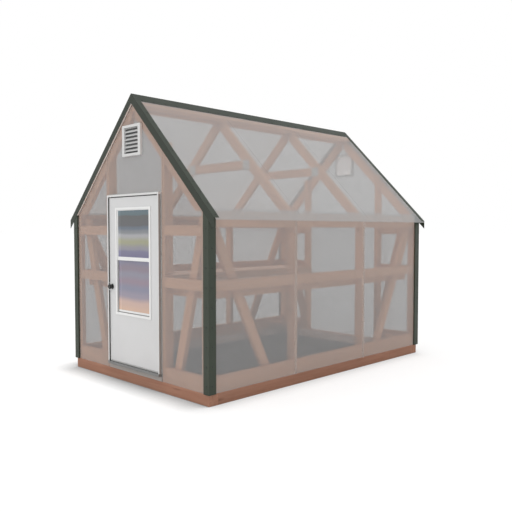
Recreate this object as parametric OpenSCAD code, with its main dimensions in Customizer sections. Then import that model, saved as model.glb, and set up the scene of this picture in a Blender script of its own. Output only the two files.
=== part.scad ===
/* [Building] */
// Width across the outer faces of the base
house_w = 2440; // [2200:20:2800]
// Length along the outer faces of the base
house_l = 3660; // [3400:20:4400]
// Height of the wall frames above the ground
wall_h = 1832; // [1800:2:2000]
// Pitch of the roof in degrees
roof_pitch = 45; // [43:0.5:48]

/* [Timber] */
// Side of the square base timbers
base_s = 112; // [108:1:130]
// Thickness of the frame timber
stock_t = 51; // [38:1:56]
// Depth of the frame timber
stock_w = 102; // [89:1:106]

/* [Sheets and trims] */
// Thickness of the clear wall and roof sheets
clad_t = 6; // [4:0.5:10]
// Gap between neighbouring sheets, and between trims that meet
sheet_gap = 1; // [0.5:0.5:4]
// Reach of the roof sheets past the side walls
eave_over = 106; // [60:2:160]
// Thickness of the folded metal trims
trim_t = 2; // [1:0.5:4]
// Width of each leg of a corner trim
corner_trim_w = 70; // [50:2:90]
// Height of a rake trim's face, square to the slope
rake_face_w = 80; // [70:2:110]
// Width of a rake trim's top flange
rake_flange_w = 53; // [30:1:80]
// Distance from the eave edge of the roof sheets back to the rake trim's end
rake_short = 12; // [4:1:30]
// Width of each slope of the ridge cap
ridge_cap_w = 124; // [100:1:170]
// Thickness of the ground mat
mat_t = 5; // [2:1:10]

/* [Wall frames] */
// Spacing of the side wall studs and the trusses
bay_l = 1220; // [1000:10:1400]
// Height of the middle girts' lower edge
mid_girt_z = 1074; // [700:2:1300]
// Distance from the top of the wall frames down to the gable's upper girts' lower edge
gable_girt_drop = 238; // [160:2:380]
// Distance from the middle of the house to a back gable stud's middle
back_stud_x = 638; // [600:1:700]
// Lean of the side wall braces from upright, in degrees
wall_brace_lean = 26.3; // [18:0.1:30]
// Distance at the head from the corner stud to a side wall brace's inner edge
wall_brace_head = 66; // [50:1:110]
// Lean of the gable braces from upright, in degrees
gable_brace_lean = 14.6; // [8:0.1:15]
// Distance at the head from the corner stud to a gable brace's inner edge
gable_brace_head = 90; // [50:1:92]
// Length of wall that a flat corner brace cuts off
corner_brace_reach = 436; // [300:2:440]

/* [Roof frame] */
// Distance from the outer face of the wall frame to a rafter's toe
rafter_toe = 48; // [20:1:70]
// Height of the collar ties above the wall frames
tie_rise = 508; // [300:2:620]
// Distance down the slope from the ridge line to a ridge purlin
purlin_gap = 18; // [10:1:40]
// Clearance of a ridge purlin from the rafters under it and the sheets over it
purlin_play = 0.05; // [0.02:0.01:0.2]
// Side of the square gusset plates
gusset_s = 110; // [80:2:140]
// Thickness of the gusset plates
gusset_t = 2; // [1:0.5:4]

/* [Benches] */
// Height of the bench top
bench_h = 1092; // [800:2:1200]
// Thickness of a bench slat
slat_t = 19; // [12:1:30]
// Gap between bench slats
slat_gap = 8; // [4:1:20]
// Number of slats on a bench
slat_count = 4; // [3:1:6]
// Number of joists under a bench
joist_count = 5; // [3:1:9]

/* [Gable vents] */
// Width of a gable vent
vent_w = 334; // [280:2:360]
// Height of a gable vent
vent_h = 327; // [280:1:340]
// Distance from the rafters' peak down to a vent's top edge
vent_drop = 241; // [220:1:300]
// Stand-out of a vent from the wall
vent_t = 26; // [16:1:34]
// Width of the vent frame at its sides
vent_side = 42; // [34:1:60]
// Width of the vent frame at its top and bottom
vent_rim = 28; // [24:1:40]
// Lap of the vent frame over the hole in the sheet at the sides
vent_lip = 24; // [12:1:28]
// Lap of the vent frame over the hole in the sheet at the top and bottom
vent_lap = 18; // [10:1:22]
// Number of louvre slats in a vent
louvre_count = 7; // [5:1:9]
// Thickness of a louvre slat
louvre_t = 2; // [1.5:0.5:4]

/* [Door] */
// Width of the door leaf
leaf_w = 908; // [800:2:960]
// Height of the door leaf
leaf_h = 1809; // [1780:1:1860]
// Thickness of the door leaf
leaf_t = 40; // [36:1:44]
// Gap between the leaf and its frame at the sides
leaf_gap = 5; // [4:0.5:7]
// Gap over the leaf
head_gap = 10; // [4:0.5:12]
// Gap under the leaf
foot_gap = 3; // [2:0.5:5]
// Thickness of the door frame's jambs and head
frame_t = 30; // [24:1:45]
// Lap of the wall sheets over the door frame
frame_lap = 10; // [4:1:16]
// Stand-out of the door frame from the wall
frame_proud = 27; // [20:1:45]
// Distance from the frame's front to the leaf's face
leaf_set = 15; // [14:0.5:20]
// Height of the threshold's underside
sill_z = 164; // [164:1:190]
// Thickness of the threshold
sill_t = 26; // [16:1:30]
// Stand-out of the threshold's nose from the frame
sill_nose = 10; // [4:1:24]
// Height of the threshold's upstand and width of the stops
stop_w = 16; // [13:1:20]
// Depth of the door stops
stop_d = 15; // [8:1:24]
// Clearance between the closed leaf and its stops
stop_gap = 0.5; // [0.3:0.1:1]
// Height of the sweep along the leaf's foot
sweep_h = 15; // [10:1:30]
// Thickness of the sweep
sweep_t = 3; // [2:0.5:6]
// Distance from the leaf's edges in to the sweep's ends, so that it passes the jamb of the open door
sweep_inset = 18; // [16:1:30]

/* [Hinges] */
// Number of hinges
hinge_count = 3; // [2:1:4]
// Height of a hinge
hinge_h = 100; // [75:5:125]
// Width of a hinge leaf on the wood
hinge_w = 35; // [25:1:38]
// Thickness of a hinge leaf
hinge_t = 1.2; // [0.8:0.1:1.3]
// Radius of a hinge barrel
barrel_r = 6; // [5:0.5:8]
// Radius of a hinge pin
pin_r = 3; // [2:0.5:3.5]
// Radius of a hinge pin's head
pin_head_r = 5; // [4:0.5:8]
// Thickness of a hinge pin's head
pin_head_t = 3; // [2:0.5:6]
// Distance between a hinge barrel and both the leaf's face and the jamb
barrel_gap = 0.5; // [0.3:0.1:2]
// Number of knuckles in a hinge
knuckle_count = 5; // [3:2:7]
// Gap between a knuckle and each end of its share of the barrel
knuckle_gap = 0.15; // [0.1:0.05:0.4]
// Running clearance of a pin in its barrel, on the radius
pin_play = 0.05; // [0.02:0.01:0.1]
// Distance from the ends of the leaf to the end hinges' middles
hinge_inset = 180; // [120:5:300]

/* [Door window] */
// Clear width of the window
lite_w = 604; // [460:2:620]
// Clear height of the window
lite_h = 1115; // [900:1:1130]
// Distance from the top of the leaf down to the window's clear edge
lite_drop = 135; // [100:1:170]
// Width of the moulding round the window
mould_w = 25; // [20:1:40]
// Stand-out of the moulding from the leaf
mould_t = 8; // [4:1:14]
// Thickness of the window's liner
liner_t = 10; // [7:1:14]
// Depth of the groove that guides the sliding sash
groove_d = 8; // [3:0.5:9]
// Width of the groove, from the leaf's inner face
groove_w = 28; // [26:0.5:29]
// Height of the meeting rails
meet_h = 39; // [30:1:50]
// Height of the meeting rails' lower edge above the window's clear edge
meet_up = 569; // [500:1:600]
// Thickness of the sliding sash
sash_t = 14; // [12:1:20]
// Width of the sash's stiles
stile_w = 12; // [10:1:20]
// Height of the sash's bottom rail
sash_foot = 28; // [20:1:50]
// Clearance between the sliding sash and the groove's face
sash_gap = 1; // [0.5:0.5:4]
// Distance from the face of the sliding sash to its glass
sash_glass_set = 3; // [1:0.5:6]
// Thickness of the fixed upper sash
upper_t = 9; // [8:0.5:9]
// Width of the upper sash's stiles
upper_stile_w = 16; // [8:1:24]
// Height of the upper sash's top rail
upper_rail_h = 8; // [6:1:20]
// Distance from the leaf's face to the upper glass
glass_set = 4; // [3:0.5:5]
// Thickness of the glass
glass_t = 4; // [3:0.5:6]
// Sliding clearance of the sash at each side
sash_play = 0.5; // [0.3:0.1:0.9]
// Clearance under the closed sash
sash_seat = 0.3; // [0.2:0.1:0.8]
// Distance from the faces of the sash to a catch
catch_set = 2; // [1:0.5:4]
// Length of a sash catch
catch_l = 30; // [20:1:50]
// Height of a sash catch
catch_h = 8; // [5:1:12]
// Distance from the sash's end to a catch
catch_in = 26; // [10:1:60]

/* [Knob and latch] */
// Height of the knob above the foot of the leaf
knob_up = 832; // [700:2:900]
// Distance from the leaf's edge to the knob
backset = 48; // [46:1:70]
// Radius of the knob
knob_r = 25; // [22:0.5:27]
// Thickness of the knob's flattened ball
knob_t = 30; // [24:1:36]
// Radius of the knob's neck
neck_r = 10; // [8:0.5:14]
// Distance from the rose to the knob's ball
neck_l = 9; // [8:1:24]
// Radius of a rose
rose_r = 25; // [20:1:30]
// Thickness of a rose
rose_t = 8; // [4:1:12]
// Running clearance between a knob and its rose
knob_gap = 0.3; // [0.2:0.1:0.8]
// Radius of the spindle
spindle_r = 5; // [4:0.5:6]
// Radius of the bores for the spindle and the latch
latch_bore_r = 12; // [11.5:0.5:13]
// Radius of the latch case
case_r = 11.8; // [11:0.1:11.9]
// Width of the latch bolt across the leaf
bolt_w = 12; // [9:0.5:13]
// Height of the latch bolt
bolt_h = 14; // [10:0.5:15]
// Reach of the latch bolt past the leaf's edge
bolt_throw = 12; // [9:0.5:13]
// Travel of the latch bolt
bolt_travel = 12; // [11:0.5:13]
// Length of the bevel on the latch bolt's nose
bevel = 8; // [4:0.5:8]
// Clearance between the drawn bolt and the spindle
tail_gap = 3; // [2:0.5:6]
// Length of bolt inside its case when it is thrown
case_grip = 8; // [5:1:12]
// Clearance round the latch bolt
bolt_play = 0.3; // [0.2:0.1:0.5]
// Width of the latch's face plate
face_w = 25; // [24:1:30]
// Height of the latch's face plate
face_h = 57; // [50:1:70]
// Thickness of the face plate and the strike plate
plate_t = 1.6; // [1:0.1:2]
// Height of the strike plate
strike_h = 70; // [50:1:90]
// Clearance round the latch bolt in the strike
strike_play = 3; // [2:0.5:5]

/* [Hidden] */

// Colours
wood = [0.71, 0.46, 0.33];
pale_wood = [0.75, 0.65, 0.58];
clear_sheet = [0.76, 0.77, 0.76, 0.7];
dark_green = [0.30, 0.33, 0.29];
white = [0.82, 0.82, 0.81];
steel = [0.62, 0.62, 0.60];
dark = [0.13, 0.13, 0.13];
glass = [0.60, 0.64, 0.66, 0.4];

// Smoothness of round pieces and a margin that lets cuts run clear
$fn = 64;
eps = 1;

// Faces of the house, measured out from its middle: base, frame, inner side of the frame and of the girts
base_x = house_w / 2;
base_y = house_l / 2;
frame_x = base_x - clad_t;
frame_y = base_y - clad_t;
inner_x = frame_x - stock_w;
inner_y = frame_y - stock_w;
girt_x = frame_x - stock_t;
girt_y = frame_y - stock_t;

// Heights of the wall frame
plate_top = base_s + stock_t;
head_z = wall_h - stock_t;
gable_girt_z = wall_h - gable_girt_drop;
stud_y = bay_l / 2;

// The roof: depths are square to the slope, from the rafters' top plane
apex_z = wall_h + (frame_x - rafter_toe) * tan(roof_pitch);
sheet_d = stock_t;
sheet_top_d = sheet_d + clad_t;
trim_top_d = sheet_top_d + trim_t;
eave_x = base_x + eave_over;
rake_x = eave_x - rake_short;
cap_x = ridge_cap_w * cos(roof_pitch);
rake_low_d = trim_top_d - rake_face_w;
ridge_x = stock_t / 2;
tie_z = wall_h + tie_rise;

// Height of a plane of the roof at a distance from the middle, and the reverse
function slope_z(x, depth) = apex_z + depth / cos(roof_pitch) - x * tan(roof_pitch);
function slope_x(z, depth) = (apex_z + depth / cos(roof_pitch) - z) / tan(roof_pitch);
// Point at a distance down the slope from the ridge line and a depth above the rafters
function on_slope(down, depth) = [
    down * cos(roof_pitch) + depth * sin(roof_pitch),
    apex_z - down * sin(roof_pitch) + depth * cos(roof_pitch)
];
// Outline between two planes of the roof, cut upright at both ends
function slope_band(x0, x1, low, high) = [
    [x0, slope_z(x0, low)], [x1, slope_z(x1, low)], [x1, slope_z(x1, high)], [x0, slope_z(x0, high)]
];

// Door
door_in = leaf_w / 2 + leaf_gap;
door_out = door_in + frame_t;
face_x = door_out - frame_lap;
door_front = -(base_y + frame_proud);
leaf_front = door_front + leaf_set;
leaf_back = leaf_front + leaf_t;
leaf_mid = (leaf_front + leaf_back) / 2;
sill_top = sill_z + sill_t;
leaf_z0 = sill_top + foot_gap;
leaf_z1 = leaf_z0 + leaf_h;
jamb_top = leaf_z1 + head_gap;
frame_top = jamb_top + frame_t;
face_top = frame_top - frame_lap;
front_stud_x = door_out + stock_t / 2;
stop_y = leaf_back + stop_gap;

// Hinges
knuckle_h = hinge_h / knuckle_count;
pin_x = door_in - barrel_r - barrel_gap;
pin_y = leaf_front - barrel_r - barrel_gap;
hinge_span = leaf_h - 2 * hinge_inset;
hinge_zs = [for (i = [0:hinge_count - 1]) leaf_z0 + hinge_inset + hinge_span * i / (hinge_count - 1)];

// Door window
lite_x = lite_w / 2;
lite_top = leaf_z1 - lite_drop;
lite_z = lite_top - lite_h;
meet_z = lite_z + meet_up;
parting_y = leaf_back - groove_w;
sash_x = lite_x + groove_d - sash_play;
sash_z0 = lite_z + sash_seat;
sash_y = parting_y + sash_gap;
sash_top = meet_z + meet_h;
fixed_glass_y = leaf_front + glass_set;
upper_glass_x = lite_x - upper_stile_w;
upper_glass_top = lite_top - upper_rail_h;

// Knob and latch
knob_x = -(leaf_w / 2 - backset);
knob_z = leaf_z0 + knob_up;
bolt_tip = -(leaf_w / 2 + bolt_throw);
bolt_tail = knob_x - spindle_r - bolt_travel - tail_gap;
case_end = bolt_tail + case_grip;

// Bench
rail_x = back_stud_x - stock_t / 2;
ledger_x = inner_x - stock_t;
end_rail_y = inner_y - stock_t;
bench_low = bench_h - stock_w;
slat_w = (ledger_x - rail_x - (slat_count + 1) * slat_gap) / slat_count;

// Vents
vent_top = apex_z - vent_drop;
vent_low = vent_top - vent_h;
hole_x = vent_w / 2 - vent_lip;
hole_low = vent_low + vent_lap;
hole_top = vent_top - vent_lap;
louvre_x = vent_w / 2 - vent_side;
louvre_low = vent_low + vent_rim;
louvre_pitch = (vent_h - 2 * vent_rim) / louvre_count;

// A box between two corners
module block(low, high) {
    translate(low)
        cube(high - low);
}

// An outline in X and Z, drawn out along Y
module along_y(y0, y1) {
    translate([0, y1, 0])
        rotate([90, 0, 0])
            linear_extrude(y1 - y0)
                children();
}

// An outline in Y and Z, drawn out along X
module along_x(x0, x1) {
    translate([x0, 0, 0])
        rotate([90, 0, 90])
            linear_extrude(x1 - x0)
                children();
}

// A piece and its mirror image at the other side or end of the house
module both_sides() {
    children();
    mirror([1, 0, 0])
        children();
}

module both_ends() {
    children();
    mirror([0, 1, 0])
        children();
}

// A leaning brace in the first quadrant, clipped to the bay that holds it
module brace_outline(head, lean, low, high) {
    run = (head_z - plate_top) * tan(lean);
    wide = stock_w / cos(lean);
    intersection() {
        polygon([
            [head - run, plate_top], [head - run + wide, plate_top], [head + wide, head_z], [head, head_z]
        ]);
        translate([low, plate_top])
            square([high - low, head_z - plate_top]);
    }
}

module base_end_timbers() {
    color(wood)
        both_ends()
            block([-base_x, base_y - base_s, 0], [base_x, base_y, base_s]);
}

module base_side_timbers() {
    color(wood)
        both_sides()
            block([base_x - base_s, base_s - base_y, 0], [base_x, base_y - base_s, base_s]);
}

module ground_mat() {
    color(dark)
        block([base_s - base_x, base_s - base_y, 0], [base_x - base_s, base_y - base_s, mat_t]);
}

module side_bottom_plates() {
    color(wood)
        both_sides()
            block([inner_x, -frame_y, base_s], [frame_x, frame_y, plate_top]);
}

module end_bottom_plates() {
    color(wood)
        both_sides() {
            block([door_out, -frame_y, base_s], [inner_x, -inner_y, plate_top]);
            block([rail_x, inner_y, base_s], [inner_x, frame_y, plate_top]);
        }
}

module corner_studs() {
    color(wood)
        both_sides()
            both_ends()
                block([inner_x, girt_y, plate_top], [frame_x, frame_y, head_z]);
}

module wall_studs() {
    color(wood)
        both_sides()
            both_ends()
                block([inner_x, stud_y - stock_t / 2, plate_top], [frame_x, stud_y + stock_t / 2, head_z]);
}

module top_plates() {
    color(wood)
        both_sides()
            block([inner_x, -frame_y, head_z], [frame_x, frame_y, wall_h]);
}

module side_girts() {
    color(wood)
        both_sides()
            for (z = [plate_top, mid_girt_z, head_z - stock_w]) {
                block([girt_x, stock_t / 2 - stud_y, z], [frame_x, stud_y - stock_t / 2, z + stock_w]);
                both_ends()
                    block([girt_x, stud_y + stock_t / 2, z], [frame_x, girt_y, z + stock_w]);
            }
}

module gable_girts() {
    color(wood)
        both_sides()
            for (z = [plate_top, mid_girt_z, gable_girt_z]) {
                block([door_out + stock_t, -frame_y, z], [inner_x, -girt_y, z + stock_w]);
                block([rail_x + stock_t, girt_y, z], [inner_x, frame_y, z + stock_w]);
            }
}

module wall_braces() {
    color(wood)
        both_sides()
            both_ends()
                along_x(inner_x, girt_x)
                    brace_outline(girt_y - wall_brace_head, wall_brace_lean, stud_y + stock_t / 2, girt_y);
}

module gable_braces() {
    color(wood)
        both_sides() {
            along_y(-girt_y, -inner_y)
                brace_outline(inner_x - gable_brace_head, gable_brace_lean, door_out + stock_t, inner_x);
            along_y(inner_y, girt_y)
                brace_outline(inner_x - gable_brace_head, gable_brace_lean, rail_x + stock_t, inner_x);
        }
}

module corner_braces() {
    wide = stock_w * sqrt(2);
    color(wood)
        both_sides()
            both_ends()
                translate([0, 0, plate_top])
                    linear_extrude(stock_t)
                        polygon([
                            [girt_x - corner_brace_reach, girt_y],
                            [girt_x - corner_brace_reach + wide, girt_y],
                            [girt_x, girt_y - corner_brace_reach + wide],
                            [girt_x, girt_y - corner_brace_reach]
                        ]);
}

// A gable stud: its outer half ends under the rafter and its inner half runs on up beside it
module gable_stud(x) {
    high = x + stock_t;
    along_y(girt_y, frame_y)
        polygon([
            [x, plate_top], [high, plate_top], [high, slope_z(high, -stock_w)], [x, slope_z(x, -stock_w)]
        ]);
    block([x, inner_y, plate_top], [high, girt_y, slope_z(high, sheet_d)]);
}

module front_gable_studs() {
    color(wood)
        mirror([0, 1, 0])
            both_sides()
                gable_stud(door_out);
}

module back_gable_studs() {
    color(wood)
        both_sides()
            gable_stud(rail_x);
}

// One rafter from the ridge board to its level seat on the wall plate
module rafter(y0, y1) {
    along_y(y0, y1)
        polygon([
            [ridge_x, slope_z(ridge_x, -stock_w)],
            [slope_x(wall_h, -stock_w), wall_h],
            [slope_x(wall_h, 0), wall_h],
            [ridge_x, slope_z(ridge_x, 0)]
        ]);
}

module gable_rafters() {
    color(wood)
        both_sides()
            both_ends()
                rafter(girt_y, frame_y);
}

module truss_rafters() {
    color(wood)
        both_sides()
            both_ends()
                rafter(stud_y - stock_t / 2, stud_y + stock_t / 2);
}

module collar_ties() {
    low = slope_x(tie_z, -stock_w);
    high = slope_x(tie_z + stock_w, -stock_w);
    color(wood)
        both_ends()
            along_y(stud_y - stock_t / 2, stud_y + stock_t / 2)
                polygon([[-low, tie_z], [low, tie_z], [high, tie_z + stock_w], [-high, tie_z + stock_w]]);
}

module gusset_plates() {
    mid_z = tie_z + stock_w / 2;
    mid_x = slope_x(mid_z, -stock_w) + stock_w / 6;
    color(steel)
        both_sides()
            both_ends()
                for (y = [stud_y - stock_t / 2 - gusset_t, stud_y + stock_t / 2])
                    block([mid_x - gusset_s / 2, y, mid_z - gusset_s / 2],
                        [mid_x + gusset_s / 2, y + gusset_t, mid_z + gusset_s / 2]);
}

module ridge_board() {
    color(wood)
        along_y(-frame_y, frame_y)
            polygon([
                [-ridge_x, apex_z - stock_w], [ridge_x, apex_z - stock_w],
                [ridge_x, slope_z(ridge_x, 0)], [0, apex_z], [-ridge_x, slope_z(ridge_x, 0)]
            ]);
}

module ridge_purlins() {
    down = purlin_gap + stock_w;
    low = purlin_play;
    high = stock_t - purlin_play;
    color(wood)
        both_sides()
            along_y(-frame_y, frame_y)
                polygon([
                    on_slope(purlin_gap, low), on_slope(down, low),
                    on_slope(down, high), on_slope(purlin_gap, high)
                ]);
}

module bench_ledgers() {
    color(wood)
        both_sides()
            block([ledger_x, -inner_y, bench_low], [inner_x, inner_y, bench_h]);
}

module bench_front_rails() {
    color(wood)
        both_sides()
            block([rail_x - stock_t, -end_rail_y, bench_low], [rail_x, girt_y, bench_h]);
}

module bench_end_rails() {
    color(wood)
        both_sides() {
            block([door_out, -inner_y, bench_low], [ledger_x, -end_rail_y, bench_h]);
            block([rail_x, end_rail_y, bench_low], [ledger_x, inner_y, bench_h]);
        }
}

module bench_joists() {
    first = -end_rail_y + stock_t / 2;
    step = -2 * first / (joist_count - 1);
    color(wood)
        both_sides()
            for (i = [0:joist_count - 1])
                translate([0, first + i * step, 0])
                    block([rail_x, -stock_t / 2, bench_low], [ledger_x, stock_t / 2, bench_h - slat_t]);
}

module bench_slats() {
    color(pale_wood)
        both_sides()
            for (i = [0:slat_count - 1])
                translate([rail_x + slat_gap + i * (slat_w + slat_gap), 0, 0])
                    block([0, -end_rail_y, bench_h - slat_t], [slat_w, end_rail_y, bench_h]);
}

// The length of the house in three sheets, with a gap at each of the inner wall studs
module sheet_run() {
    joint = sheet_gap / 2;
    both_ends()
        along_y(stud_y + joint, base_y)
            children();
    along_y(joint - stud_y, stud_y - joint)
        children();
}

module side_panels() {
    color(clear_sheet)
        both_sides()
            sheet_run()
                polygon([
                    [frame_x, base_s], [base_x, base_s],
                    [base_x, slope_z(base_x, sheet_d)], [frame_x, slope_z(frame_x, sheet_d)]
                ]);
}

module vent_hole() {
    block([-hole_x, -base_y - eps, hole_low], [hole_x, eps - frame_y, hole_top]);
}

module front_gable_panels() {
    seam = front_stud_x + sheet_gap;
    notch = face_top - sheet_gap;
    color(clear_sheet) {
        both_sides()
            along_y(-base_y, -frame_y)
                polygon([
                    [face_x, base_s], [frame_x, base_s], [frame_x, slope_z(frame_x, sheet_d)],
                    [seam, slope_z(seam, sheet_d)], [seam, notch], [face_x, notch]
                ]);
        block([sheet_gap - face_x, -base_y, base_s], [face_x - sheet_gap, -frame_y, sill_z]);
        difference() {
            along_y(-base_y, -frame_y)
                polygon([
                    [-front_stud_x, face_top], [front_stud_x, face_top],
                    [front_stud_x, slope_z(front_stud_x, sheet_d)], [0, slope_z(0, sheet_d)],
                    [-front_stud_x, slope_z(front_stud_x, sheet_d)]
                ]);
            vent_hole();
        }
    }
}

module back_gable_panels() {
    seam = back_stud_x + sheet_gap;
    color(clear_sheet) {
        both_sides()
            along_y(frame_y, base_y)
                polygon([
                    [seam, base_s], [frame_x, base_s],
                    [frame_x, slope_z(frame_x, sheet_d)], [seam, slope_z(seam, sheet_d)]
                ]);
        difference() {
            along_y(frame_y, base_y)
                polygon([
                    [-back_stud_x, base_s], [back_stud_x, base_s],
                    [back_stud_x, slope_z(back_stud_x, sheet_d)], [0, slope_z(0, sheet_d)],
                    [-back_stud_x, slope_z(back_stud_x, sheet_d)]
                ]);
            mirror([0, 1, 0])
                vent_hole();
        }
    }
}

module roof_panels() {
    color(clear_sheet)
        both_sides()
            sheet_run()
                polygon(slope_band(sheet_gap / 2, eave_x, sheet_d, sheet_top_d));
}

module ridge_cap() {
    color(dark_green)
        both_sides()
            along_y(-base_y, base_y)
                polygon(slope_band(0, cap_x, sheet_top_d, trim_top_d));
}

module rake_trims() {
    color(dark_green)
        both_sides()
            both_ends() {
                along_y(base_y, base_y + trim_t)
                    polygon(slope_band(sheet_gap / 2, rake_x, rake_low_d, trim_top_d));
                along_y(base_y + trim_t - rake_flange_w, base_y)
                    polygon(slope_band(cap_x, rake_x, sheet_top_d, trim_top_d));
            }
}

module corner_trims() {
    out_x = base_x + trim_t;
    out_y = base_y + trim_t;
    low_x = out_x - corner_trim_w;
    color(dark_green)
        both_sides()
            both_ends() {
                along_y(base_y, out_y)
                    polygon([
                        [low_x, base_s], [out_x, base_s],
                        [out_x, slope_z(out_x, rake_low_d)], [low_x, slope_z(low_x, rake_low_d)]
                    ]);
                block([base_x, out_y - corner_trim_w, base_s], [out_x, base_y, slope_z(out_x, sheet_d)]);
            }
}

module vent_frames() {
    color(white)
        both_ends()
            difference() {
                union() {
                    block([-vent_w / 2, base_y, vent_low], [vent_w / 2, base_y + vent_t, vent_top]);
                    block([-hole_x, frame_y, hole_low], [hole_x, base_y, hole_top]);
                }
                block([-louvre_x, frame_y - eps, louvre_low],
                    [louvre_x, base_y + vent_t + eps, louvre_low + louvre_pitch * louvre_count]);
            }
}

module vent_louvres() {
    depth = vent_t + clad_t - 2 * louvre_t;
    drop = louvre_pitch * 0.8;
    color(white)
        both_ends()
            for (i = [0:louvre_count - 1])
                translate([0, frame_y + louvre_t, louvre_low + i * louvre_pitch])
                    along_x(-louvre_x, louvre_x)
                        polygon([[0, drop], [depth, 0], [depth, louvre_t], [0, drop + louvre_t]]);
}

// The jamb's pocket for the bolt is open to the front, so that the strike lets the bolt out that way
module bolt_pocket(depth) {
    high = bolt_h / 2 + strike_play;
    block([-door_in - depth, door_front - eps, knob_z - high],
        [eps - door_in, leaf_mid + bolt_w / 2 + strike_play, knob_z + high]);
}

module door_jambs() {
    color(white)
        difference() {
            both_sides() {
                block([door_in, -frame_y, sill_top], [door_out, -inner_y, jamb_top]);
                block([door_in, door_front, sill_top], [face_x, -frame_y, jamb_top]);
            }
            block([-door_in - plate_t, door_front - eps, knob_z - strike_h / 2],
                [eps - door_in, stop_y, knob_z + strike_h / 2]);
            bolt_pocket(bolt_throw - leaf_gap + strike_play);
        }
}

module door_head() {
    color(white) {
        block([-door_out, -frame_y, jamb_top], [door_out, -inner_y, frame_top]);
        block([-face_x, door_front, jamb_top], [face_x, -frame_y, face_top]);
    }
}

module door_stops() {
    color(white) {
        both_sides()
            block([door_in - stop_w, stop_y, sill_top + stop_w], [door_in, stop_y + stop_d, jamb_top]);
        block([stop_gap + stop_w - door_in, stop_y, jamb_top - stop_w],
            [door_in - stop_w - stop_gap, stop_y + stop_d, jamb_top]);
    }
}

module threshold() {
    color(steel) {
        block([-door_out, -frame_y, sill_z], [door_out, -inner_y, sill_top]);
        block([-face_x, door_front - sill_nose, sill_z], [face_x, -frame_y, sill_top]);
        block([-door_in, stop_y, sill_top], [door_in, stop_y + stop_d, sill_top + stop_w]);
    }
}

module strike_plate() {
    color(steel)
        difference() {
            block([-door_in - plate_t, door_front, knob_z - strike_h / 2],
                [-door_in, stop_y, knob_z + strike_h / 2]);
            bolt_pocket(plate_t + eps);
        }
}

// Knuckles of one side of a hinge, with the web that joins them to the hinge leaf
module knuckles(first, web_x) {
    difference() {
        for (k = [first:2:knuckle_count - 1])
            translate([0, 0, k * knuckle_h - hinge_h / 2 + knuckle_gap]) {
                translate([pin_x, pin_y, 0])
                    cylinder(r = barrel_r, h = knuckle_h - 2 * knuckle_gap);
                block([web_x, pin_y, 0], [web_x + hinge_t, leaf_front, knuckle_h - 2 * knuckle_gap]);
            }
        translate([pin_x, pin_y, -hinge_h])
            cylinder(r = pin_r + pin_play, h = 2 * hinge_h);
    }
}

module hinge_leaf(first, web_x) {
    for (z = hinge_zs)
        translate([0, 0, z]) {
            block([web_x, leaf_front, -hinge_h / 2], [web_x + hinge_t, leaf_front + hinge_w, hinge_h / 2]);
            knuckles(first, web_x);
        }
}

module frame_hinge_leaves() {
    color(white)
        hinge_leaf(0, door_in - hinge_t);
}

module door_hinge_leaves() {
    color(white)
        hinge_leaf(1, leaf_w / 2);
}

module hinge_pins() {
    color(white)
        for (z = hinge_zs)
            translate([pin_x, pin_y, z - hinge_h / 2]) {
                cylinder(r = pin_r, h = hinge_h);
                translate([0, 0, hinge_h])
                    cylinder(r = pin_head_r, h = pin_head_t);
            }
}

module door_leaf() {
    color(white)
        difference() {
            block([-leaf_w / 2, leaf_front, leaf_z0], [leaf_w / 2, leaf_back, leaf_z1]);
            block([-lite_x - liner_t, leaf_front - eps, lite_z - liner_t],
                [lite_x + liner_t, leaf_back + eps, lite_top + liner_t]);
            translate([knob_x, leaf_back + eps, knob_z])
                rotate([90, 0, 0])
                    cylinder(r = latch_bore_r, h = leaf_t + 2 * eps);
            translate([-leaf_w / 2 - eps, leaf_mid, knob_z])
                rotate([0, 90, 0])
                    cylinder(r = latch_bore_r, h = backset + eps);
            block([-leaf_w / 2 - eps, leaf_mid - face_w / 2, knob_z - face_h / 2],
                [-leaf_w / 2 + plate_t, leaf_mid + face_w / 2, knob_z + face_h / 2]);
        }
}

module door_sweep() {
    color(steel)
        block([sweep_inset - leaf_w / 2, leaf_front - sweep_t, leaf_z0],
            [leaf_w / 2 - sweep_inset, leaf_front, leaf_z0 + sweep_h]);
}

// A flat ring of moulding round the window
module moulding(y0, y1) {
    difference() {
        block([-lite_x - mould_w, y0, lite_z - mould_w], [lite_x + mould_w, y1, lite_top + mould_w]);
        block([-lite_x, y0 - eps, lite_z], [lite_x, y1 + eps, lite_top]);
    }
}

module outer_window_frame() {
    color(white) {
        moulding(leaf_front - mould_t, leaf_front);
        difference() {
            block([-lite_x - liner_t, leaf_front, lite_z - liner_t],
                [lite_x + liner_t, leaf_back, lite_top + liner_t]);
            block([-lite_x, leaf_front - eps, lite_z], [lite_x, leaf_back + eps, lite_top]);
            block([-lite_x - groove_d, parting_y, lite_z], [lite_x + groove_d, leaf_back + eps, lite_top]);
        }
    }
}

module inner_window_frame() {
    color(white)
        moulding(leaf_back, leaf_back + mould_t);
}

module upper_glass() {
    color(glass)
        block([-upper_glass_x, fixed_glass_y, sash_top],
            [upper_glass_x, fixed_glass_y + glass_t, upper_glass_top]);
}

module upper_sash_frame() {
    back = parting_y - eps;
    color(white)
        difference() {
            block([-lite_x, back - upper_t, meet_z], [lite_x, back, lite_top]);
            block([-upper_glass_x, back - upper_t - eps, sash_top],
                [upper_glass_x, back + eps, upper_glass_top]);
        }
}

module sash_frame() {
    color(white)
        difference() {
            block([-sash_x, sash_y, sash_z0], [sash_x, sash_y + sash_t, sash_top]);
            block([stile_w - sash_x, sash_y - eps, sash_z0 + sash_foot],
                [sash_x - stile_w, sash_y + sash_t + eps, meet_z]);
        }
}

module sash_glass() {
    front = sash_y + sash_glass_set;
    color(glass)
        block([stile_w - sash_x, front, sash_z0 + sash_foot], [sash_x - stile_w, front + glass_t, meet_z]);
}

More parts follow.
